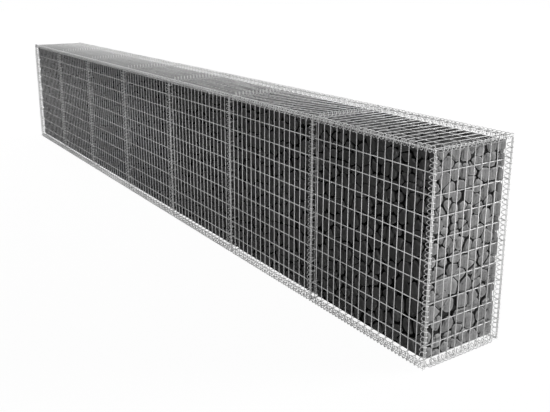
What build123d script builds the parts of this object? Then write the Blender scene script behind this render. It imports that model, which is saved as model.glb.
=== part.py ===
"""Gabion wall: welded mesh baskets in a row, laced with spirals and filled with stone.

The wall lies along X, its front faces -Y and +Z is up. The origin is at the
middle of the footprint, on the level that the wall rests on. Sizes are in mm.

Each bay has its own front, back, lid and base sheet. A sheet is two layers of
straight wires, welded where they cross. An end panel closes each end of the wall
and a divider stands at each seam between two bays. Spirals lace the sheets
together: edge spirals along the outer edges, seam spirals round the seams. All
of them are left-handed.
"""

import os
from math import cos, pi, sin, sqrt, tau

from build123d import *

# Mesh
cell = 50.0  # short side of a mesh cell; the long side is twice that
wire = 4.0  # thickness of the mesh wires
cells_along_bay = 17  # short cells in the length of a bay
cells_up = 10  # long cells in the height of the wall
cells_through = 10  # short cells in the thickness of the wall, an even number
bays = 7
seam = 3.0  # clear gap between the sheets of neighbouring bays

# Spirals
turns_per_cell = 2  # turns in a short cell
turns_per_divider_cell = 2.5  # whole turns and a half, so that loops pass between a divider's wires
spiral_radius = 17.0  # from a spiral's axis to a corner of its loops
spiral_wire = 3.0
spiral_flats = 6  # straight runs in a turn
wire_flats = 3  # sides of the spiral's wire
slack = 0.3  # from a spiral to the wires that it laces
end_space = 3.0  # from the end of a spiral to the spirals that it meets
corner_shift = 2.3  # of a corner spiral, from the diagonal of its corner to the long side

# Stone fill
fill_space = 3.0  # to the spirals
divider_gap = 5.0  # to a divider
foot = 24.0  # bevel of the fill's lower edges along the wall

# Overall sizes
long_cell = 2 * cell
sheet = 2 * wire
bay_length = cells_along_bay * cell + wire
bay_pitch = bay_length + seam
length = bays * bay_pitch - seam
depth = cells_through * cell + wire
panel_height = cells_up * long_cell + wire
height = panel_height + 2 * sheet

# Where the spirals run
pitch = cell / turns_per_cell
hold = spiral_radius * cos(pi / spiral_flats) - spiral_wire / 2 - slack
edge_inset = hold / sqrt(2)
seam_outset = hold - sheet - wire
loop_reach = spiral_radius + spiral_wire
end_inset = edge_inset + loop_reach + end_space

# Where the stone fill ends: across the wall it is bevelled, clear of the spirals under the seams
fill_inset = edge_inset + loop_reach + fill_space
seam_gap = wire + divider_gap
heel = sqrt(2) * (loop_reach + fill_space) + hold - wire - seam_gap


def spread(count, spacing):
    """Places of evenly spaced wires, about the middle of a sheet."""
    return [(i - (count - 1) / 2) * spacing for i in range(count)]


def framed(span, inner):
    """Places of the inner wires and of a wire at each edge of a span."""
    edge = (span - wire) / 2
    return [-edge, *inner, edge]


def divider_wires(span):
    """Places of a divider's wires over a span, with a cell astride its middle."""
    spacing = turns_per_divider_cell * pitch
    pairs = int((span - cell) / 2 / spacing + 1 / 2)
    return framed(span, spread(2 * pairs, spacing))


def welded_sheet(across, up):
    """A sheet on the XY plane: a layer of wires along Y, then a layer of wires along X."""
    width = across[-1] - across[0] + wire
    tall = up[-1] - up[0] + wire
    with BuildPart() as mesh:
        with BuildSketch(Plane.XY):
            with Locations(*[(x, 0) for x in across]):
                Rectangle(wire, tall)
        extrude(amount=wire)
        with BuildSketch(Plane.XY.offset(wire)):
            with Locations(*[(0, y) for y in up]):
                Rectangle(width, wire)
        extrude(amount=wire)
    return mesh.part


def spiral(turns):
    """A left-handed spiral about Z, centred on the origin, with a flat of each loop towards +X."""
    runs = turns * spiral_flats
    places = [k + (1 - runs) / 2 for k in range(runs + 1)]
    points = [
        (
            spiral_radius * cos(place * tau / spiral_flats),
            -spiral_radius * sin(place * tau / spiral_flats),
            place * pitch / spiral_flats,
        )
        for place in places
    ]
    with BuildPart() as coil:
        with BuildLine() as path:
            Polyline(*points)
        with BuildSketch(Plane(origin=path.line @ 0, z_dir=path.line % 0)):
            RegularPolygon(spiral_wire / 2, wire_flats)
        sweep(path=path.line, transition=Transition.RIGHT)
    return coil.part


def whole_turns(span):
    """The whole turns that a span has room for."""
    return int(span // pitch)


def stone_block(low, high):
    """A bay's stone fill between two places on X, standing on the base sheet."""
    with BuildPart() as block:
        with BuildSketch(Plane(origin=((low + high) / 2, 0, base_z + sheet))):
            Rectangle(high - low, depth - 2 * fill_inset)
        extrude(amount=height - sheet - fill_inset)
        chamfer(block.faces().sort_by(Axis.Z)[0].edges().filter_by(Axis.Y), heel)
        chamfer(block.faces().sort_by(Axis.Z)[0].edges().filter_by(Axis.X), foot)
    return block.part


def place(piece, origin, facing, along):
    """A copy of a piece at origin, with its X turned to facing and its Z to along."""
    return piece.moved(Plane(origin=origin, x_dir=facing, z_dir=along).location)


def write(piece, name):
    """Labels a piece and writes it to a file of its own."""
    piece.label = name
    export_step(piece, f"parts/{name}.step", write_pcurves=False)


def write_group(copies, name):
    """Writes copies of like pieces to one file."""
    write(Compound(children=copies), name)


os.makedirs("parts", exist_ok=True)

# Sheets, each built once and copied to its places
between = depth - 2 * sheet
along_bay = spread(cells_along_bay + 1, cell)
up_wall = spread(cells_up + 1, long_cell)
side_sheet = welded_sheet(along_bay, up_wall)
cover_sheet = welded_sheet(along_bay, spread(cells_through // 2 + 1, long_cell))
end_sheet = welded_sheet(framed(between, spread(cells_through - 1, cell)), up_wall)
divider_sheet = welded_sheet(divider_wires(between), divider_wires(panel_height))

# Spirals, each built once and copied to its places
long_spiral = spiral(whole_turns(bay_length))
end_spiral = spiral(whole_turns(depth - 2 * end_inset))
corner_spiral = spiral(whole_turns(height - 2 * end_inset))
seam_spiral_base = spiral(whole_turns(depth - 2 * end_inset - pitch))
seam_spiral_upright = spiral(whole_turns(height - 2 * end_inset))
seam_spiral_lid = spiral(whole_turns(depth - 2 * end_inset))

# Levels: the lowest loops touch the ground
lowest = place(long_spiral, (0, 0, edge_inset), (0, -1, -1), (1, 0, 0)).bounding_box().min.Z
base_z = -lowest
middle_z = base_z + height / 2
top_z = base_z + height

bay_places = spread(bays, bay_pitch)
seam_places = spread(bays - 1, bay_pitch)

for number, x in enumerate(bay_places, start=1):
    write(place(side_sheet, (x, -depth / 2, middle_z), (1, 0, 0), (0, 1, 0)), f"front_panel_{number}")
    write(place(side_sheet, (x, depth / 2, middle_z), (1, 0, 0), (0, -1, 0)), f"back_panel_{number}")
    write(place(cover_sheet, (x, 0, top_z), (1, 0, 0), (0, 0, -1)), f"lid_{number}")
    write(place(cover_sheet, (x, 0, base_z + sheet), (1, 0, 0), (0, 0, -1)), f"base_panel_{number}")

for side, name in ((-1, "end_panel_left"), (1, "end_panel_right")):
    write(place(end_sheet, (side * length / 2, 0, middle_z), (0, 1, 0), (-side, 0, 0)), name)

for number, x in enumerate(seam_places, start=1):
    write(place(divider_sheet, (x - wire, 0, middle_z), (0, 1, 0), (1, 0, 0)), f"divider_{number}")

fill_end = length / 2 - fill_inset
fill_lows = [-fill_end, *[x + seam_gap for x in seam_places]]
fill_highs = [*[x - seam_gap for x in seam_places], fill_end]
for number, (low, high) in enumerate(zip(fill_lows, fill_highs), start=1):
    write(stone_block(low, high), f"stone_fill_{number}")

edge_x = length / 2 - edge_inset
edge_y = depth / 2 - edge_inset
edge_z = height / 2 - edge_inset
edge_spirals = []
for a in (-1, 1):
    for b in (-1, 1):
        level = middle_z + b * edge_z
        edge_spirals += [place(long_spiral, (x, a * edge_y, level), (0, a, b), (1, 0, 0)) for x in bay_places]
        edge_spirals.append(place(end_spiral, (a * edge_x, 0, level), (a, 0, b), (0, 1, 0)))
        corner = (a * (edge_x - corner_shift), b * (edge_y + corner_shift), middle_z)
        edge_spirals.append(place(corner_spiral, corner, (a, b, 0), (0, 0, 1)))
write_group(edge_spirals, "edge_spirals")

# Seam spirals sit astride the sides and lids, with the divider's edge wires at the back of their
# loops. Under the base they hang inside, because the wires along a seam are its upper layer.
seam_y = depth / 2 + seam_outset
seam_spirals = []
for x in seam_places:
    seam_spirals.append(place(seam_spiral_lid, (x, 0, top_z + seam_outset), (0, 0, 1), (0, 1, 0)))
    seam_spirals.append(place(seam_spiral_base, (x, pitch / 2, base_z + wire + hold), (0, 0, -1), (0, 1, 0)))
    for side in (-1, 1):
        seam_spirals.append(place(seam_spiral_upright, (x, side * seam_y, middle_z), (0, side, 0), (0, 0, 1)))
write_group(seam_spirals, "seam_spirals")
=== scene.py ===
"""Gabion wall: seven welded mesh baskets in a row, laced with spirals and filled with basalt.

Lengths are metres. The wall runs along X with its front towards -Y, and stands on the level Z = 0.
"""

import logging
import math
from dataclasses import dataclass, field, replace
from enum import Enum
from typing import Any

import bmesh
import bpy
import numpy as np
from mathutils import Euler, Matrix, Vector


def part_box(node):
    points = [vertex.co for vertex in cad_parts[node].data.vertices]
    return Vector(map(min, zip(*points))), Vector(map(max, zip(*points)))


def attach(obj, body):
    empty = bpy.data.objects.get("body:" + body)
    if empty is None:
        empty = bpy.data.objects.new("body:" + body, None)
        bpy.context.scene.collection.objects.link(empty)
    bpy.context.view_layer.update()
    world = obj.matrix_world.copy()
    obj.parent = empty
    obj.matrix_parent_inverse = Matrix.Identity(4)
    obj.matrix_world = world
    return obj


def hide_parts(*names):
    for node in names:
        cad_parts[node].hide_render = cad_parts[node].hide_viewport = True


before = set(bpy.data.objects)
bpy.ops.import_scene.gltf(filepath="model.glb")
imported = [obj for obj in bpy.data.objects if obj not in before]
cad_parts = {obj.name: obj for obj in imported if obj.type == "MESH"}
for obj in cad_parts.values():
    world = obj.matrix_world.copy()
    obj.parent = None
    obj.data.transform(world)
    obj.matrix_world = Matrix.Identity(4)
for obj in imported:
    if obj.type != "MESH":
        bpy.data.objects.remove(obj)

log = logging.getLogger("gabion_wall")

BODY = "root"
SHADE = "shade"
CELL = 0.05
WIRE = 0.004


class Axis(Enum):
    """The wall's three directions."""

    LENGTH = 0
    THICKNESS = 1
    HEIGHT = 2

    @property
    def way(self) -> Vector:
        """The direction as a unit vector."""
        return Vector([float(k == self.value) for k in range(3)])


class Layout(Enum):
    """How a sheet's wires share out its width."""

    EVEN = "evenly from the middle out"
    FRAMED = "a wire at each edge and one in the middle"
    ASTRIDE = "a wire at each edge and a cell astride the middle"


class Copy(Enum):
    """What the wire tree sets at a seat."""

    ROD = 0
    BEAD = 1


# Nodes


def plug(node: bpy.types.Node, sockets: dict[Any, Any]) -> None:
    """Fills a node's inputs.

    Args:
        node: The node.
        sockets: A value or a socket to link, for each input by its name or number.
    """
    for key, value in sockets.items():
        if isinstance(value, bpy.types.NodeSocket):
            node.id_data.links.new(value, node.inputs[key])
        else:
            node.inputs[key].default_value = value


def add_node(
    group: bpy.types.NodeTree, kind: str, sockets: dict[Any, Any] | None = None, **settings: Any
) -> bpy.types.Node:
    """Adds a node to a group of nodes.

    Args:
        group: The group.
        kind: The node's type.
        sockets: A value or a socket to link, for each input by its name or number.
        settings: The node's own properties.

    Returns:
        The node.
    """
    node = group.nodes.new(kind)
    for key, value in settings.items():
        setattr(node, key, value)
    plug(node, sockets or {})
    return node


def add_socket(group: bpy.types.NodeTree, name: str, way: str, kind: str) -> None:
    """Gives a group of nodes an INPUT or OUTPUT of a kind, such as Float or Color."""
    group.interface.new_socket(name, in_out=way, socket_type=f"NodeSocket{kind}")


class Tree:
    """A geometry node tree with named inputs, written node by node."""

    def __init__(self, name: str) -> None:
        """Starts an empty tree that takes in a geometry and gives one out.

        Args:
            name: The tree's name.
        """
        self.group = bpy.data.node_groups.new(name, "GeometryNodeTree")
        for way in ("OUTPUT", "INPUT"):
            add_socket(self.group, "Geometry", way, "Geometry")
        self.entry = self.group.nodes.new("NodeGroupInput")
        self.exit = self.group.nodes.new("NodeGroupOutput")

    def input(self, name: str, kind: str = "Float") -> bpy.types.NodeSocket:
        """Adds a named input, which grow() sets, and returns the socket that carries it."""
        add_socket(self.group, name, "INPUT", kind)
        return self.entry.outputs[name]

    def add(
        self, kind: str, sockets: dict[Any, Any] | None = None, **settings: Any
    ) -> bpy.types.Node:
        """Adds a node to the tree, as add_node() does."""
        return add_node(self.group, kind, sockets, **settings)

    def math(self, operation: str, *values: Any) -> bpy.types.NodeSocket:
        """Adds a math node on these values and returns its result."""
        return self.add("ShaderNodeMath", dict(enumerate(values)), operation=operation).outputs[0]

    def mark(self, name: str, kind: str) -> bpy.types.NodeSocket:
        """Reads a named mark of the seats, of the given data type."""
        node = self.add("GeometryNodeInputNamedAttribute", {"Name": name}, data_type=kind)
        return node.outputs[0]

    def seat(self, shape: bpy.types.NodeSocket, **marks: Any) -> bpy.types.NodeSocket:
        """Sets copies of a shape at the seats.

        Args:
            shape: The shape.
            marks: A socket for each other mark that the copies follow.

        Returns:
            The copies.
        """
        turn = self.add("FunctionNodeEulerToRotation", {0: self.mark("turn", "FLOAT_VECTOR")})
        seats = {"Points": self.entry.outputs["Geometry"], "Rotation": turn.outputs[0], **marks}
        return self.add("GeometryNodeInstanceOnPoints", {"Instance": shape, **seats}).outputs[0]

    def finish(self, geometry: bpy.types.NodeSocket, material: bpy.types.NodeSocket) -> None:
        """Ends the tree: the copies are made real and get their finish.

        Args:
            geometry: The copies.
            material: The finish.
        """
        real = self.add("GeometryNodeRealizeInstances", {0: geometry})
        dressed = self.add("GeometryNodeSetMaterial", {0: real.outputs[0], "Material": material})
        plug(self.exit, {0: dressed.outputs[0]})


@dataclass
class Seats:
    """Places where a tree sets its copies, each with its marks."""

    places: list[Vector] = field(default_factory=list)
    turns: list[Euler] = field(default_factory=list)
    sizes: list[tuple[float, float, float]] = field(default_factory=list)
    kinds: list[int] = field(default_factory=list)

    def add(
        self,
        place: Vector,
        turn: Matrix,
        size: tuple[float, float, float] = (1.0, 1.0, 1.0),
        kind: Copy = Copy.ROD,
    ) -> None:
        """Adds a seat.

        Args:
            place: Where the copy's middle goes.
            turn: The rotation that the copy gets.
            size: The copy's scale along its own axes.
            kind: Which copy goes there, in a tree that has more than one.
        """
        self.places.append(place)
        self.turns.append(turn.to_euler())
        self.sizes.append(size)
        self.kinds.append(kind.value)

    def mesh(self, name: str) -> bpy.types.Mesh:
        """Makes a mesh of a loose vertex for each seat, with the seats' marks as attributes.

        Args:
            name: The mesh's name.

        Returns:
            The mesh.
        """
        mesh = bpy.data.meshes.new(name)
        mesh.from_pydata([tuple(place) for place in self.places], [], [])
        marks = (
            ("turn", "FLOAT_VECTOR", "vector", np.float32, [tuple(turn) for turn in self.turns]),
            ("size", "FLOAT_VECTOR", "vector", np.float32, self.sizes),
            ("kind", "INT", "value", np.int32, self.kinds),
        )
        for mark, kind, key, number, values in marks:
            layer = mesh.attributes.new(mark, kind, "POINT")
            layer.data.foreach_set(key, np.array(values, dtype=number).ravel())
        return mesh


def add_piece(name: str, mesh: bpy.types.Mesh) -> bpy.types.Object:
    """Puts a mesh in the scene as a piece, at the origin.

    Args:
        name: The piece's name.
        mesh: Its mesh.

    Returns:
        The piece.
    """
    piece = bpy.data.objects.new(name, mesh)
    bpy.context.scene.collection.objects.link(piece)
    return piece


def grow(name: str, mesh: bpy.types.Mesh, tree: Tree, **inputs: Any) -> bpy.types.Object:
    """Runs a tree on a mesh and keeps what it makes as a plain mesh.

    Args:
        name: The piece's name.
        mesh: What the tree starts from.
        tree: The tree.
        inputs: A value for each of the tree's named inputs, in small letters.

    Returns:
        The piece, at the origin, with no modifier left.
    """
    piece = add_piece(name, mesh)
    modifier = piece.modifiers.new(name, "NODES")
    modifier.node_group = tree.group
    for item in tree.group.interface.items_tree:
        key = item.name.lower()
        if item.in_out == "INPUT" and key in inputs:
            modifier[item.identifier] = inputs[key]
    depsgraph = bpy.context.evaluated_depsgraph_get()
    made = bpy.data.meshes.new_from_object(piece.evaluated_get(depsgraph))
    piece.modifiers.remove(modifier)
    piece.data = made
    made.name = name
    return piece


def hand_over(piece: bpy.types.Object, node: str) -> None:
    """Hangs a finished piece on the wall's body in place of its CAD node, and reports it.

    Args:
        piece: The finished piece.
        node: The CAD node that it stands for.
    """
    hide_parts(node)
    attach(piece, BODY)
    triangles = sum(len(polygon.vertices) - 2 for polygon in piece.data.polygons)
    log.info("%s: %d triangles, for %s", piece.name, triangles, node)


def basis(x_way: Vector, z_way: Vector) -> Matrix:
    """The rotation that takes X to x_way and Z to z_way, which are at right angles."""
    x_way, z_way = x_way.normalized(), z_way.normalized()
    return Matrix((x_way, z_way.cross(x_way), z_way)).transposed()


# Finishes


def grey(level: float) -> tuple[float, float, float, float]:
    """An opaque grey, from 0, black, to 1, white."""
    return (level, level, level, 1.0)


@dataclass(frozen=True)
class Mottle:
    """The pattern of every finish: large patches and small grain, mixed between two greys.

    Attributes:
        detail: The number of finer layers in the noise.
        roughness: How strong each finer layer is.
        low: The noise from which the pattern is all dark.
        high: The noise from which it is all light.
    """

    detail: float = 3.0
    roughness: float = 0.6
    low: float = 0.3
    high: float = 0.7

    def group(self) -> bpy.types.NodeTree:
        """Makes the pattern's shader group.

        Returns:
            The group, with its scales, share and greys as inputs, and a colour and a height.
        """
        group = bpy.data.node_groups.new("mottle", "ShaderNodeTree")
        for name in ("Patch Scale", "Grain Scale", "Grain Share"):
            add_socket(group, name, "INPUT", "Float")
        for name in ("Dark", "Light"):
            add_socket(group, name, "INPUT", "Color")
        add_socket(group, "Color", "OUTPUT", "Color")
        add_socket(group, "Height", "OUTPUT", "Float")
        entry = group.nodes.new("NodeGroupInput")
        where = group.nodes.new("ShaderNodeTexCoord")
        noise = {"Vector": where.outputs["Object"]}
        noise |= {"Detail": self.detail, "Roughness": self.roughness}
        patch, grain = (
            add_node(group, "ShaderNodeTexNoise", {**noise, "Scale": entry.outputs[scale]})
            for scale in ("Patch Scale", "Grain Scale")
        )
        # A Mix node has its numbers at inputs 2 and 3, its colours at inputs 6 and 7, and the
        # mixed colour at output 2.
        blend = add_node(
            group,
            "ShaderNodeMix",
            {0: entry.outputs["Grain Share"], 2: patch.outputs["Fac"], 3: grain.outputs["Fac"]},
        )
        height = add_node(
            group,
            "ShaderNodeMapRange",
            {"Value": blend.outputs[0], "From Min": self.low, "From Max": self.high},
        )
        colour = add_node(
            group,
            "ShaderNodeMix",
            {0: height.outputs[0], 6: entry.outputs["Dark"], 7: entry.outputs["Light"]},
            data_type="RGBA",
        )
        leave = group.nodes.new("NodeGroupOutput")
        plug(leave, {"Color": colour.outputs[2], "Height": height.outputs[0]})
        return group


@dataclass(frozen=True)
class Finish:
    """A mottled finish in two greys.

    Attributes:
        name: The material's name.
        dark: The darker grey.
        light: The lighter grey.
        patch_scale: The number of large patches in a metre.
        grain_scale: The number of grains in a metre.
        grain_share: How much of the pattern is grain.
        metallic: How much of the surface is metal.
        specular: How much gloss it has beside that.
        rough_low: How rough the dark places are.
        rough_high: How rough the light places are.
        bump: The strength of the relief.
        bump_depth: Its depth.
        shaded: Whether the mesh's own shade darkens or lightens it; that shade holds random
        tone, and painted highlight and painted shade.
    """

    name: str
    dark: float
    light: float
    patch_scale: float
    grain_scale: float
    grain_share: float
    metallic: float
    specular: float
    rough_low: float
    rough_high: float
    bump: float
    bump_depth: float
    shaded: bool = False

    def material(self, mottle: bpy.types.NodeTree) -> bpy.types.Material:
        """Makes the finish's material.

        Args:
            mottle: The shader group of patches and grain.

        Returns:
            The material.
        """
        made = bpy.data.materials.new(self.name)
        made.use_nodes = True
        graph = made.node_tree
        pattern = add_node(
            graph,
            "ShaderNodeGroup",
            {
                "Patch Scale": self.patch_scale,
                "Grain Scale": self.grain_scale,
                "Grain Share": self.grain_share,
                "Dark": grey(self.dark),
                "Light": grey(self.light),
            },
            node_tree=mottle,
        )
        colour, height = pattern.outputs["Color"], pattern.outputs["Height"]
        if self.shaded:
            shade = add_node(graph, "ShaderNodeAttribute", attribute_name=SHADE).outputs["Fac"]
            tinted = {0: colour, "Scale": shade}
            colour = add_node(graph, "ShaderNodeVectorMath", tinted, operation="SCALE").outputs[0]
        rough = add_node(
            graph,
            "ShaderNodeMapRange",
            {"Value": height, "To Min": self.rough_low, "To Max": self.rough_high},
        )
        relief = add_node(
            graph,
            "ShaderNodeBump",
            {"Height": height, "Strength": self.bump, "Distance": self.bump_depth},
        )
        plug(
            graph.nodes["Principled BSDF"],
            {
                "Base Color": colour,
                "Metallic": self.metallic,
                "Roughness": rough.outputs[0],
                "Specular IOR Level": self.specular,
                "Normal": relief.outputs[0],
            },
        )
        return made


GALVANISED = Finish(
    name="galvanised_wire",
    dark=0.46,
    light=0.6,
    patch_scale=60.0,
    grain_scale=420.0,
    grain_share=0.5,
    metallic=0.92,
    specular=0.5,
    rough_low=0.55,
    rough_high=0.72,
    bump=0.15,
    bump_depth=0.0004,
)
# A lighter copy of the galvanised finish, as painted light: the spirals are of the same steel as
# the mesh.
SPRING_PAINTED_LIGHTER = replace(GALVANISED, name="spiral_wire", dark=0.8, light=0.94)
BASALT = Finish(
    name="broken_basalt",
    dark=0.195,
    light=0.275,
    patch_scale=34.0,
    grain_scale=260.0,
    grain_share=0.45,
    metallic=0.0,
    specular=0.0,
    rough_low=0.82,
    rough_high=1.0,
    bump=0.5,
    bump_depth=0.004,
    shaded=True,
)


# Mesh sheets


def wire_tree() -> Tree:
    """Makes the tree that draws straight round wires, and a bead where two of them are welded.

    Returns:
        The tree, with the inputs Wire, Flats, Bead and Finish.
    """
    tree = Tree("wires")
    thickness, flats = tree.input("Wire"), tree.input("Flats", "Int")
    bead, material = tree.input("Bead"), tree.input("Finish", "Material")
    radius = tree.math("DIVIDE", thickness, 2.0)
    rod = tree.add("GeometryNodeMeshCylinder", {"Vertices": flats, "Radius": radius, "Depth": 1.0})
    weld = tree.add("GeometryNodeMeshIcoSphere", {"Radius": tree.math("MULTIPLY", radius, bead)})
    sides = {0: rod.outputs["Mesh"], 1: rod.outputs["Side"]}
    round_rod = tree.add("GeometryNodeSetShadeSmooth", sides)
    round_weld = tree.add("GeometryNodeSetShadeSmooth", {0: weld.outputs["Mesh"]})
    kind, size = tree.mark("kind", "INT"), tree.mark("size", "FLOAT_VECTOR")
    made = tree.add("GeometryNodeJoinGeometry")
    for copy, shape in ((Copy.BEAD, round_weld), (Copy.ROD, round_rod)):
        # A Compare node has its whole numbers at inputs 2 and 3.
        chosen = tree.add(
            "FunctionNodeCompare", {2: kind, 3: copy.value}, data_type="INT", operation="EQUAL"
        )
        plug(made, {0: tree.seat(shape.outputs[0], Selection=chosen.outputs[0], Scale=size)})
    tree.finish(made.outputs[0], material)
    return tree


def spread(count: int, spacing: float) -> list[float]:
    """Places of evenly spaced things, centred on 0."""
    return [(i - (count - 1) / 2) * spacing for i in range(count)]


@dataclass
class Sheet:
    """A flat sheet of welded mesh: a first layer of wires, and a second layer across them.

    Attributes:
        node: The CAD node that it stands for.
        slot: The record's material slot; not used.
        normal: The direction through the sheet.
        side: The side that the first layer is on, 1 or -1 along the normal.
        first: The direction of the first layer's wires.
        second: The direction of the second layer's wires.
        first_spacing: The distance between the first layer's wires.
        second_spacing: The distance between the second layer's wires.
        layout: How the wires share out the sheet's width.
        flats: The sides of a wire.
        bead: The width of a weld bead, in thicknesses of the wire.
        bead_height: Its height through the sheet, as a share of its width.
    """

    node: str
    slot: str
    normal: Axis
    side: int
    first: Axis
    second: Axis
    first_spacing: float
    second_spacing: float
    layout: Layout = Layout.EVEN
    flats: int = 8
    bead: float = 1.35
    bead_height: float = 0.75

    def lines(self, low: float, high: float, spacing: float) -> list[float]:
        """Where a layer's wires lie across the sheet.

        Args:
            low: The sheet's edge on one side.
            high: Its edge on the other.
            spacing: The distance between wires.

        Returns:
            The wires' places, the first and last at the sheet's edges.
        """
        middle, reach = (low + high) / 2, (high - low - WIRE) / 2
        if self.layout is Layout.EVEN:
            return [middle + place for place in spread(round(2 * reach / spacing) + 1, spacing)]
        if self.layout is Layout.ASTRIDE:
            count = 2 * int((reach + WIRE / 2 - CELL / 2) / spacing + 0.5)
        else:
            count = 2 * int((reach - CELL / 2) / spacing) + 1
        inner = [middle + place for place in spread(count, spacing)]
        return [middle - reach, *inner, middle + reach]

    def build(self, tree: Tree, material: bpy.types.Material) -> None:
        """Draws the sheet's wires and welds where its CAD node has them.

        Args:
            tree: The tree that draws wires.
            material: The wires' finish.
        """
        low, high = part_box(self.node)
        n, a, b = self.normal.value, self.first.value, self.second.value
        face = high[n] if self.side > 0 else low[n]
        first_lines = self.lines(low[b], high[b], self.first_spacing)
        second_lines = self.lines(low[a], high[a], self.second_spacing)
        layers = (
            (self.first, self.second, first_lines),
            (self.second, self.first, second_lines),
        )
        seats = Seats()
        for layer, (run, across, lines) in enumerate(layers):
            for line in lines:
                place = (low + high) / 2
                place[n] = face - self.side * (layer + 0.5) * WIRE
                place[across.value] = line
                span = high[run.value] - low[run.value]
                seats.add(place, basis(across.way, run.way), (1.0, 1.0, span))
        turn = basis(self.first.way, self.normal.way)
        for line in first_lines:
            for other in second_lines:
                place = Vector((0.0, 0.0, 0.0))
                place[n] = face - self.side * WIRE
                place[b], place[a] = line, other
                seats.add(place, turn, (1.0, 1.0, self.bead_height), Copy.BEAD)
        name = self.node.replace("panel", "mesh")
        if name == self.node:
            name = f"{self.node}_mesh"
        sizes = {"wire": WIRE, "flats": self.flats, "bead": self.bead}
        piece = grow(name, seats.mesh(name), tree, **sizes, finish=material)
        hand_over(piece, self.node)


# Spirals


def spiral_tree() -> Tree:
    """Makes the tree that winds a left-handed spiral about Z and sets copies of it.

    Returns:
        The tree, with the inputs Radius, Pitch, Turns, Wire, Steps, Flats and Finish.
    """
    tree = Tree("spirals")
    radius, pitch, turns = tree.input("Radius"), tree.input("Pitch"), tree.input("Turns", "Int")
    thickness, steps = tree.input("Wire"), tree.input("Steps", "Int")
    flats, material = tree.input("Flats", "Int"), tree.input("Finish", "Material")
    half = tree.math("DIVIDE", tree.math("MULTIPLY", pitch, turns), 2.0)
    low = tree.add("ShaderNodeCombineXYZ", {"Z": tree.math("MULTIPLY", half, -1.0)})
    high = tree.add("ShaderNodeCombineXYZ", {"Z": half})
    line = tree.add(
        "GeometryNodeCurvePrimitiveLine", {"Start": low.outputs[0], "End": high.outputs[0]}
    )
    count = tree.math("ADD", tree.math("MULTIPLY", turns, steps), 1.0)
    fine = tree.add("GeometryNodeResampleCurve", {"Curve": line.outputs[0], "Count": count})
    where = tree.add("GeometryNodeInputPosition")
    along = tree.add("ShaderNodeSeparateXYZ", {0: where.outputs[0]}).outputs["Z"]
    angle = tree.math("MULTIPLY", tree.math("DIVIDE", along, pitch), math.tau)
    back = tree.math("MULTIPLY", angle, -1.0)
    wound = tree.add(
        "ShaderNodeCombineXYZ",
        {
            "X": tree.math("MULTIPLY", tree.math("COSINE", angle), radius),
            "Y": tree.math("MULTIPLY", tree.math("SINE", back), radius),
            "Z": along,
        },
    )
    helix = tree.add(
        "GeometryNodeSetPosition", {"Geometry": fine.outputs[0], "Position": wound.outputs[0]}
    )
    ring = tree.add(
        "GeometryNodeCurvePrimitiveCircle",
        {"Resolution": flats, "Radius": tree.math("DIVIDE", thickness, 2.0)},
    )
    tube = tree.add(
        "GeometryNodeCurveToMesh",
        {"Curve": helix.outputs[0], "Profile Curve": ring.outputs[0], "Fill Caps": True},
    )
    smooth = tree.add("GeometryNodeSetShadeSmooth", {0: tube.outputs[0]})
    tree.finish(tree.seat(smooth.outputs[0]), material)
    return tree


@dataclass
class SpiralSet:
    """Spirals of one length that lace like edges.

    Attributes:
        name: What they lace.
        turns: The whole turns in each of them.
        seats: Where they go.
    """

    name: str
    turns: int
    seats: Seats = field(default_factory=Seats)

    def lay(self, place: Vector, facing: Vector, run: Axis) -> None:
        """Adds a spiral with its middle at a place, a loop towards facing, along an axis."""
        self.seats.add(place, basis(facing, run.way))


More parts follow.
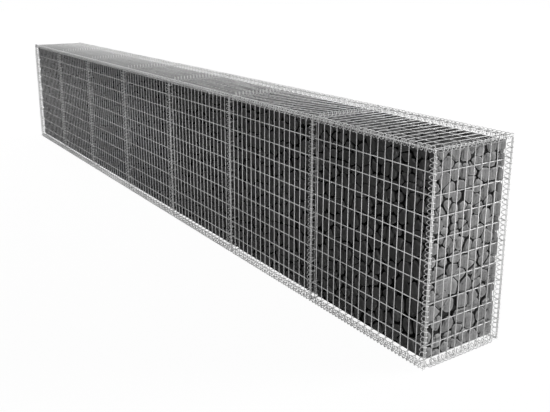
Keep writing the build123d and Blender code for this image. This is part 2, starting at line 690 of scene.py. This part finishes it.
@dataclass
class Lacing:
    """The spirals that lace the sheets together, along the outer edges and over the seams.

    Attributes:
        bays: The number of bays.
        radius: From a spiral's axis to the middle of its wire.
        wire: The thickness of its wire.
        pitch: The length of a turn.
        slack: From a spiral to the wires that it laces.
        end_inset: From the wall's outside to the end of a spiral that meets another.
        corner_shift: How far an upright corner spiral stands nearer the long side.
        steps: The straight runs in a turn.
        flats: The sides of the wire.
    """

    bays: int
    radius: float = 0.0153
    wire: float = 0.0036
    pitch: float = 0.025
    slack: float = 0.0003
    end_inset: float = 0.03214
    corner_shift: float = 0.0023
    steps: int = 14
    flats: int = 4

    def build(self, tree: Tree, material: bpy.types.Material) -> None:
        """Winds every spiral round the wires that its CAD solid laces.

        Args:
            tree: The tree that winds spirals.
            material: The spirals' finish.
        """
        front_low, front_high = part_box("front_panel_1")
        bottom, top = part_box("base_panel_1")[0].z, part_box("lid_1")[1].z
        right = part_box("end_panel_right")[1].x
        hold = self.radius - self.wire / 2 - self.slack
        inset = hold / math.sqrt(2)
        depth, middle, height = -2 * front_low.y, (bottom + top) / 2, top - bottom
        edge = Vector((right - inset, depth / 2 - inset, height / 2 - inset))
        panels = [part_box(f"front_panel_{n}") for n in range(1, self.bays + 1)]
        bays = [(low + high).x / 2 for low, high in panels]
        seams = [(a + b) / 2 for a, b in zip(bays, bays[1:])]
        across, up = depth - 2 * self.end_inset, height - 2 * self.end_inset
        long_set, end_set, corner_set, lid_set, base_set, upright_set = (
            SpiralSet(name, int(span // self.pitch))
            for name, span in (
                ("long", front_high.x - front_low.x),
                ("ends", across),
                ("corners", up),
                ("lids", across),
                ("bases", across - self.pitch),
                ("uprights", up),
            )
        )
        for a in (-1, 1):
            for b in (-1, 1):
                level = middle + b * edge.z
                for x in bays:
                    long_set.lay(Vector((x, a * edge.y, level)), Vector((0, a, b)), Axis.LENGTH)
                end_set.lay(Vector((a * edge.x, 0, level)), Vector((a, 0, b)), Axis.THICKNESS)
                x, y = a * (edge.x - self.corner_shift), b * (edge.y + self.corner_shift)
                corner_set.lay(Vector((x, y, middle)), Vector((a, b, 0)), Axis.HEIGHT)
        # On the sides and lids the seam spirals sit astride, and on the base they hang inside.
        for x in seams:
            lid_set.lay(Vector((x, 0, top)), Vector((0, 0, 1)), Axis.THICKNESS)
            place = Vector((x, self.pitch / 2, bottom + WIRE + hold))
            base_set.lay(place, Vector((0, 0, -1)), Axis.THICKNESS)
            for side in (-1, 1):
                place = Vector((x, side * depth / 2, middle))
                upright_set.lay(place, Vector((0, side, 0)), Axis.HEIGHT)
        sizes = {"radius": self.radius, "pitch": self.pitch, "wire": self.wire}
        sizes |= {"steps": self.steps, "flats": self.flats, "finish": material}
        for name, node, sets in (
            ("edge_lacing", "edge_spirals", (long_set, end_set, corner_set)),
            ("seam_lacing", "seam_spirals", (lid_set, base_set, upright_set)),
        ):
            parts = []
            for spirals in sets:
                seats = spirals.seats.mesh(spirals.name)
                part = grow(f"{name}_{spirals.name}", seats, tree, **sizes, turns=spirals.turns)
                parts.append(part)
            hand_over(join(name, parts), node)


def join(name: str, parts: list[bpy.types.Object]) -> bpy.types.Object:
    """Joins plain mesh parts of one finish into one piece.

    Args:
        name: The piece's name.
        parts: The parts, which are removed.

    Returns:
        The piece.
    """
    whole = bmesh.new()
    for part in parts:
        whole.from_mesh(part.data)
    mesh = bpy.data.meshes.new(name)
    whole.to_mesh(mesh)
    whole.free()
    mesh.materials.append(parts[0].data.materials[0])
    for part in parts:
        bpy.data.objects.remove(part)
    return add_piece(name, mesh)


# Stone fill


def clip(outline: list[Vector], point: Vector, way: Vector) -> list[Vector]:
    """Cuts a convex outline along a line and keeps the part behind it.

    Args:
        outline: The corners, in order, in two dimensions.
        point: A point on the line.
        way: The direction that is cut away.

    Returns:
        The corners of the part that is left.
    """
    sides = [(corner - point).dot(way) for corner in outline]
    kept = []
    for k, corner in enumerate(outline):
        before, here = sides[k - 1], sides[k]
        if (before > 0) != (here > 0):
            kept.append(outline[k - 1].lerp(corner, before / (before - here)))
        if here <= 0:
            kept.append(corner)
    return kept


def rounded(outline: list[Vector], share: float) -> list[Vector]:
    """Cuts the corners off an outline.

    Args:
        outline: The corners, in order, in two dimensions.
        share: How much of a side goes at each of its ends.

    Returns:
        The new outline, with two corners for each one of the old.
    """
    made = []
    for a, b in zip(outline, [*outline[1:], outline[0]]):
        made += [a.lerp(b, share), b.lerp(a, share)]
    return made


def centroid(outline: list[Vector]) -> Vector:
    """Finds the middle of an outline's area.

    Args:
        outline: The corners, in order, in two dimensions.

    Returns:
        The middle.
    """
    total, area = Vector((0.0, 0.0)), 0.0
    for a, b in zip(outline, [*outline[1:], outline[0]]):
        piece = a.cross(b)
        total += (a + b) * (piece / 3)
        area += piece
    return total / area


def either(
    rng: np.random.Generator, chance: float, rare: tuple[float, float], usual: tuple[float, float]
) -> float:
    """Draws from one range by chance, and otherwise from the usual one."""
    return rng.uniform(*(rare if rng.random() < chance else usual))


@dataclass
class StoneFace:
    """A course of broken stones, packed side by side and cut flush with one side of a basket.

    Attributes:
        corner: A corner of the side.
        across: The side's one edge from there.
        up: Its other edge from there.
        outward: The direction that the side faces.
        stone: The size of a stone.
        deep: How far a stone goes in.
        rim: The width of the slope round its flat face.
        flush: How far most flat faces lie behind the side.
        set_back: How far the others do.
        set_back_share: How many of them do.
        close: How much of its share a stone takes up, where it is packed close.
        loose: How much it takes up where it is not.
        loose_share: How many are loose.
        slope: How deep the rim falls, in rims.
        least_flat: The least flat face, as part of the share.
        lean: How far the flat face may lie off the middle, in rims.
        foot: The size of the stone's foot, as part of its whole.
        rim_inset: How far the rims stay inside the side's edges.
        foot_inset: How far the feet do.
        corner_share: How much of a stone's side its cut corner takes.
        tints: The shade of the flat face; of the rim, lighter partly for worn, dusty edges and
        partly as a painted highlight; and of the foot, darker as painted shade in the gaps.
        lights: The shades that whole stones have.
        overlap: How wide the strip round the side is that shares out stones with it.
        least: How far a stone has to reach in from the strip.
        settle: How often the stones shift to even out their shares.
        neighbours: How many stones may touch one.
    """

    corner: Vector
    across: Vector
    up: Vector
    outward: Vector
    stone: float = 0.062
    deep: float = 0.028
    rim: float = 0.0095
    flush: tuple[float, float] = (0.0, 0.001)
    set_back: tuple[float, float] = (0.004, 0.012)
    set_back_share: float = 0.2
    close: tuple[float, float] = (0.88, 0.98)
    loose: tuple[float, float] = (0.68, 0.86)
    loose_share: float = 0.28
    slope: tuple[float, float] = (0.5, 0.9)
    least_flat: float = 0.35
    lean: float = 0.3
    foot: float = 0.75
    rim_inset: float = 0.001
    foot_inset: float = 0.014
    corner_share: float = 0.2
    # The rim's lightness is partly dusty edges and partly a painted highlight; the foot's darkness
    # is painted shade.
    tints: tuple[float, float, float] = (1.0, 1.4, 0.6)
    lights: tuple[float, float] = (0.88, 1.12)
    overlap: float = 0.018
    least: float = 0.003
    settle: int = 2
    neighbours: int = 16

    def cells(self, rng: np.random.Generator) -> list[list[Vector]]:
        """Shares the side and a strip round it out among the stones.

        Args:
            rng: The source of chance.

        Returns:
            The outline of each stone's share, along the side's two edges from the strip's corner.
        """
        width, height = (edge.length + 2 * self.overlap for edge in (self.across, self.up))
        count = max(1, round(width * height / self.stone**2))
        centres = [Vector(c) for c in rng.random((count, 2)) * (width, height)]
        strip = [Vector(c) for c in ((0.0, 0.0), (width, 0.0), (width, height), (0.0, height))]
        for _ in range(self.settle + 1):
            spots = np.array(centres)
            apart = ((spots[:, None] - spots[None]) ** 2).sum(2)
            nearest = np.argsort(apart, axis=1)[:, 1 : self.neighbours + 1]
            shares = []
            for k, centre in enumerate(centres):
                share = strip
                for other in nearest[k]:
                    share = clip(share, (centre + centres[other]) / 2, centres[other] - centre)
                shares.append(share)
            centres = [centroid(share) for share in shares]
        return shares

    def outside(self, outline: list[Vector]) -> bool:
        """Tells whether an outline hardly reaches in from the strip round the side.

        Args:
            outline: The outline, in the strip.

        Returns:
            Whether it lies outside the side.
        """
        near = self.overlap + self.least
        for k, edge in enumerate((self.across, self.up)):
            far = edge.length + 2 * self.overlap - near
            if all(spot[k] < near for spot in outline) or all(spot[k] > far for spot in outline):
                return True
        return False

    def lay(
        self,
        heap: bmesh.types.BMesh,
        shade: bmesh.types.BMLayerItem,
        rng: np.random.Generator,
    ) -> None:
        """Adds the side's stones, each with a flat face, a sloping rim and a narrower foot.

        Args:
            heap: Takes the stones.
            shade: The layer that says how light a stone's finish is.
            rng: The source of chance.
        """
        across, up = self.across.normalized(), self.up.normalized()
        width, height = self.across.length, self.up.length
        flat_tint, rim_dust_and_highlight, foot_painted_shade = self.tints
        for share in self.cells(rng):
            centre = centroid(share)
            size = min((corner - centre).length for corner in share)
            outline = rounded(share, self.corner_share)
            if self.outside(outline):
                continue
            full = either(rng, self.loose_share, self.loose, self.close)
            back = either(rng, self.set_back_share, self.set_back, self.flush)
            fall = rng.uniform(*self.slope) * self.rim
            flat = max(self.least_flat, full - (self.rim + back) / size)
            shift = Vector(rng.uniform(-self.lean, self.lean, 2)) * self.rim
            light = rng.uniform(*self.lights)
            still = Vector((0.0, 0.0))
            # The rim ring is lighter, partly as worn dusty edges and partly as a painted highlight,
            # and the foot ring is darker as painted shade in the gaps between stones.
            rings = (
                (flat, shift, back, 0.0, flat_tint),
                (full, still, back + fall, self.rim_inset, rim_dust_and_highlight),
                (full * self.foot, still, back + self.deep, self.foot_inset, foot_painted_shade),
            )
            loops = []
            for scale, offset, depth, inset, tint in rings:
                loop = []
                for spot in outline:
                    moved = centre + (spot - centre) * scale + offset
                    x = min(max(moved.x - self.overlap, inset), width - inset)
                    y = min(max(moved.y - self.overlap, inset), height - inset)
                    vert = heap.verts.new(self.corner + across * x + up * y - self.outward * depth)
                    vert[shade] = light * tint
                    loop.append(vert)
                loops.append(loop)
            heap.faces.new(loops[0])
            heap.faces.new(reversed(loops[-1]))
            for upper, lower in zip(loops, loops[1:]):
                for k in range(len(outline)):
                    heap.faces.new((upper[k - 1], lower[k - 1], lower[k], upper[k]))


@dataclass
class StoneFill:
    """The stone in one basket: broken stones flush with its open sides, round a painted-shade core.

    Attributes:
        number: The basket's number, from the left.
        bays: The number of baskets.
        side_proud: How far the stones stand out of the CAD solid at the front and back.
        end_proud: How far they do at the wall's ends.
        seam_proud: How far they do at a divider.
        top_proud: How far they do at the top.
        rise: From the CAD solid's foot to that of the side stones.
        foot: How far the lowest stones stay in from the sides.
        base_stone: The size of the lowest stones.
        core_depth: How far the core lies behind the stones' faces.
        core_seam_depth: How far it does at a divider.
        core_rise: From the CAD solid's foot to that of the core.
        core_lumps: The height of the core's lumps.
        core_cuts: The cuts that divide each edge of the core.
        core_painted_shade: The shade of the core, painted dark as the shade deep among the stones.
        seed: Where the baskets' seeds start from.
        merge: The distance at which corners become one.
    """

    number: int
    bays: int
    side_proud: float = 0.0036
    end_proud: float = 0.010
    seam_proud: float = 0.004
    top_proud: float = 0.008
    rise: float = 0.0235
    foot: float = 0.060
    base_stone: float = 0.1
    core_depth: float = 0.020
    core_seam_depth: float = 0.008
    core_rise: float = 0.009
    core_lumps: float = 0.006
    core_cuts: int = 19
    core_painted_shade: float = 0.16
    seed: int = 100
    merge: float = 1e-5

    def build(self, material: bpy.types.Material) -> None:
        """Fills the basket within the sides of its CAD solid.

        Args:
            material: The stones' finish.
        """
        node = f"stone_fill_{self.number}"
        low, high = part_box(node)
        left_proud = self.end_proud if self.number == 1 else self.seam_proud
        right_proud = self.end_proud if self.number == self.bays else self.seam_proud
        low -= Vector((left_proud, self.side_proud, 0.0))
        high += Vector((right_proud, self.side_proud, self.top_proud))
        rng = np.random.default_rng(self.seed + self.number)
        heap = bmesh.new()
        shade = heap.verts.layers.float.new(SHADE)
        self.core(heap, shade, low, high, rng)
        for face in self.faces(low, high - low):
            face.lay(heap, shade, rng)
        bmesh.ops.remove_doubles(heap, verts=heap.verts, dist=self.merge)
        bmesh.ops.recalc_face_normals(heap, faces=heap.faces)
        name = f"stones_{self.number}"
        mesh = bpy.data.meshes.new(name)
        heap.to_mesh(mesh)
        heap.free()
        mesh.materials.append(material)
        hand_over(add_piece(name, mesh), node)

    def faces(self, low: Vector, size: Vector) -> list[StoneFace]:
        """Lists the sides of the basket that show stones.

        Args:
            low: The fill's lowest corner.
            size: Its length, thickness and height.

        Returns:
            The front, the back, the top and the base, and the wall's end where the basket has it.
        """
        x_way, y_way, z_way = (axis.way for axis in Axis)
        x_edge, y_edge, z_edge = x_way * size.x, y_way * size.y, z_way * (size.z - self.rise)
        foot = low + z_way * self.rise
        base = low + (x_way + y_way) * self.foot
        base_x, base_y = x_way * (size.x - 2 * self.foot), y_way * (size.y - 2 * self.foot)
        made = [
            StoneFace(foot, x_edge, z_edge, -y_way),
            StoneFace(foot + y_edge, x_edge, z_edge, y_way),
            StoneFace(low + z_way * size.z, x_edge, y_edge, z_way),
            StoneFace(base, base_x, base_y, -z_way, self.base_stone),
        ]
        if self.number == 1:
            made.append(StoneFace(foot, y_edge, z_edge, -x_way))
        if self.number == self.bays:
            made.append(StoneFace(foot + x_edge, y_edge, z_edge, x_way))
        return made

    def core(
        self,
        heap: bmesh.types.BMesh,
        shade: bmesh.types.BMLayerItem,
        low: Vector,
        high: Vector,
        rng: np.random.Generator,
    ) -> None:
        """Makes the lumpy block that closes the gaps between the stones, in painted shade.

        Args:
            heap: Takes the block, and is empty before.
            shade: The layer that says how light its finish is.
            low: The fill's lowest corner.
            high: Its highest corner.
            rng: The source of chance.
        """
        inset = Vector((self.core_depth,) * 3)
        a, b = low + inset, high - inset
        a.z = low.z + self.core_rise
        if self.number > 1:
            a.x = low.x + self.core_seam_depth
        if self.number < self.bays:
            b.x = high.x - self.core_seam_depth
        bmesh.ops.create_cube(heap, size=1.0)
        cuts = self.core_cuts
        bmesh.ops.subdivide_edges(heap, edges=heap.edges, cuts=cuts, use_grid_fill=True)
        for vert in heap.verts:
            share = [c + 0.5 for c in vert.co]
            lump = Vector(rng.uniform(-self.core_lumps, self.core_lumps, 3))
            vert.co = Vector([a[k] + (b[k] - a[k]) * share[k] for k in range(3)])
            # The block's own edges stay straight.
            if sum(s in (0.0, 1.0) for s in share) < 2:
                vert.co += lump
            # The block's darkness is painted shade, standing in for the stones in shadow behind the
            # gaps.
            vert[shade] = self.core_painted_shade
        for face in heap.faces:
            face.smooth = True


# The wall


@dataclass
class GabionWall:
    """The whole wall.

    Attributes:
        bays: The number of baskets.
        divider_spacing: The distance between a divider's wires, both ways.
    """

    bays: int = 7
    divider_spacing: float = 0.0625

    def sheets(self) -> list[Sheet]:
        """Lists every sheet of mesh.

        Returns:
            The sheets, bay by bay, then the end panels and the dividers.
        """
        x, y, z = Axis
        cells = (CELL, 2 * CELL)
        made = []
        for n in range(1, self.bays + 1):
            made += [
                Sheet(f"front_panel_{n}", "mesh_front", y, -1, z, x, *cells),
                Sheet(f"back_panel_{n}", "mesh_back", y, 1, z, x, *cells),
                Sheet(f"lid_{n}", "mesh_lids", z, 1, y, x, *cells),
                Sheet(f"base_panel_{n}", "mesh_base", z, 1, y, x, *cells),
            ]
        for side, name in ((-1, "end_panel_left"), (1, "end_panel_right")):
            made.append(Sheet(name, "mesh_ends", x, side, z, y, *cells, Layout.FRAMED))
        cells = (self.divider_spacing, self.divider_spacing)
        for n in range(1, self.bays):
            made.append(Sheet(f"divider_{n}", "mesh_dividers", x, -1, z, y, *cells, Layout.ASTRIDE))
        return made

    def build(self) -> None:
        """Builds the mesh, the lacing and the stone."""
        mottle = Mottle().group()
        steel, spring, stone = (f.material(mottle) for f in (GALVANISED, SPRING_PAINTED_LIGHTER, BASALT))
        wires = wire_tree()
        for sheet in self.sheets():
            sheet.build(wires, steel)
        Lacing(self.bays).build(spiral_tree(), spring)
        for n in range(1, self.bays + 1):
            StoneFill(n, self.bays).build(stone)


# Floor, light and camera


@dataclass(frozen=True)
class Lamp:
    """A far white lamp.

    Attributes:
        name: The lamp's name.
        strength: How bright it shines.
        towards: The direction in which it stands.
        width: How wide it looks, in degrees.
    """

    name: str
    strength: float
    towards: tuple[float, float, float]
    width: float

    def hang(self) -> None:
        """Puts the lamp in the scene."""
        data = bpy.data.lights.new(self.name, "SUN")
        data.energy = self.strength
        data.angle = math.radians(self.width)
        lamp = bpy.data.objects.new(self.name, data)
        lamp.rotation_euler = Vector(self.towards).to_track_quat("Z", "Y").to_euler()
        bpy.context.scene.collection.objects.link(lamp)


@dataclass
class Studio:
    """A plain pale floor, soft light and the camera.

    Attributes:
        floor_size: The length of the floor's sides.
        floor_level: How high the floor lies, just clear of the wall.
        floor_grey: The floor's own colour.
        floor_glow: How bright the floor glows to look at.
        floor_mirrored: How bright it glows as metal mirrors it.
        sky: The strength of the light from all round.
        card: The direction of the bright side of the sky that metal mirrors.
        card_front: How bright that side is.
        card_back: How bright the other side is.
        lamps: The lamps.
        camera_place: Where the camera stands.
        camera_down: How far it looks down, in degrees.
        camera_turn: How far left it is turned from straight across the wall, in degrees.
        sensor: The width of its sensor, in millimetres.
        lens: The focal length of its lens, in millimetres.
        lens_shift: The lens's shift along the picture's height, in widths of the sensor.
        camera_reach: How far it sees.
    """

    floor_size: float = 80.0
    floor_level: float = -0.0005
    floor_grey: float = 0.07
    floor_glow: float = 0.95
    floor_mirrored: float = 1.4
    sky: float = 0.1
    card: tuple[float, float, float] = (0.0, -0.8, -0.6)
    card_front: float = 2.05
    card_back: float = 0.2
    lamps: tuple[Lamp, ...] = (
        Lamp("key", 3.2, (0.38, 0.85, 0.17), 30.0),
        Lamp("side", 2.05, (1.0, -0.035, 0.15), 15.0),
    )
    camera_place: tuple[float, float, float] = (4.985, -2.367, 1.694)
    camera_down: float = 13.9
    camera_turn: float = 56.42
    sensor: float = 36.0
    lens: float = 45.9
    lens_shift: float = -0.09
    camera_reach: float = 200.0

    def floor(self) -> None:
        """Lays the floor, which shows white with a faint shadow."""
        place = (0.0, 0.0, self.floor_level)
        bpy.ops.mesh.primitive_plane_add(size=self.floor_size, location=place)
        floor = bpy.context.object
        floor.name = "floor"
        material = bpy.data.materials.new("pale_floor")
        material.use_nodes = True
        graph = material.node_tree
        matt = graph.nodes["Principled BSDF"]
        plug(matt, {"Base Color": grey(self.floor_grey), "Roughness": 1.0})
        rays = graph.nodes.new("ShaderNodeLightPath").outputs
        seen = add_node(
            graph,
            "ShaderNodeMath",
            {0: rays["Is Camera Ray"], 1: self.floor_glow},
            operation="MULTIPLY",
        )
        strength = add_node(
            graph,
            "ShaderNodeMath",
            {0: rays["Is Glossy Ray"], 1: self.floor_mirrored, 2: seen.outputs[0]},
            operation="MULTIPLY_ADD",
        )
        glow = add_node(graph, "ShaderNodeEmission", {"Strength": strength.outputs[0]})
        both = add_node(graph, "ShaderNodeAddShader", {0: matt.outputs[0], 1: glow.outputs[0]})
        plug(graph.nodes["Material Output"], {"Surface": both.outputs[0]})
        floor.data.materials.append(material)

    def world(self) -> None:
        """Makes the sky: white to look at, brighter on one side in metal, and a soft fill."""
        world = bpy.data.worlds.new("studio")
        world.use_nodes = True
        graph = world.node_tree
        seen = graph.nodes["Background"]
        plug(seen, {"Color": grey(1.0), "Strength": self.sky})
        where = graph.nodes.new("ShaderNodeTexCoord")
        facing = add_node(
            graph,
            "ShaderNodeVectorMath",
            {0: where.outputs["Generated"], 1: self.card},
            operation="DOT_PRODUCT",
        )
        fade = add_node(
            graph,
            "ShaderNodeMapRange",
            {
                "Value": facing.outputs["Value"],
                "From Min": -1.0,
                "To Min": self.card_back,
                "To Max": self.card_front,
            },
        )
        rays = graph.nodes.new("ShaderNodeLightPath").outputs
        for ray, strength in (("Is Glossy Ray", fade.outputs[0]), ("Is Camera Ray", 1.0)):
            shown = add_node(
                graph, "ShaderNodeBackground", {"Color": grey(1.0), "Strength": strength}
            )
            seen = add_node(
                graph,
                "ShaderNodeMixShader",
                {0: rays[ray], 1: seen.outputs[0], 2: shown.outputs[0]},
            )
        plug(graph.nodes["World Output"], {"Surface": seen.outputs[0]})
        bpy.context.scene.world = world

    def camera(self) -> None:
        """Sets up the camera, at standing height off the right end's front corner."""
        data = bpy.data.cameras.new("camera")
        data.sensor_width = self.sensor
        data.lens = self.lens
        data.shift_y = self.lens_shift
        data.clip_end = self.camera_reach
        camera = bpy.data.objects.new("camera", data)
        camera.location = self.camera_place
        tilt, turn = math.radians(90.0 - self.camera_down), math.radians(self.camera_turn)
        camera.rotation_euler = (tilt, 0.0, turn)
        bpy.context.scene.collection.objects.link(camera)
        bpy.context.scene.camera = camera

    def build(self) -> None:
        """Sets up the whole studio."""
        self.floor()
        self.world()
        for lamp in self.lamps:
            lamp.hang()
        self.camera()
        bpy.context.scene.view_settings.view_transform = "Standard"


def main() -> None:
    """Builds the wall and its studio."""
    logging.basicConfig(level=logging.INFO, format="%(name)s: %(message)s")
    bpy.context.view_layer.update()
    GabionWall().build()
    Studio().build()


if __name__ == "__main__":
    main()
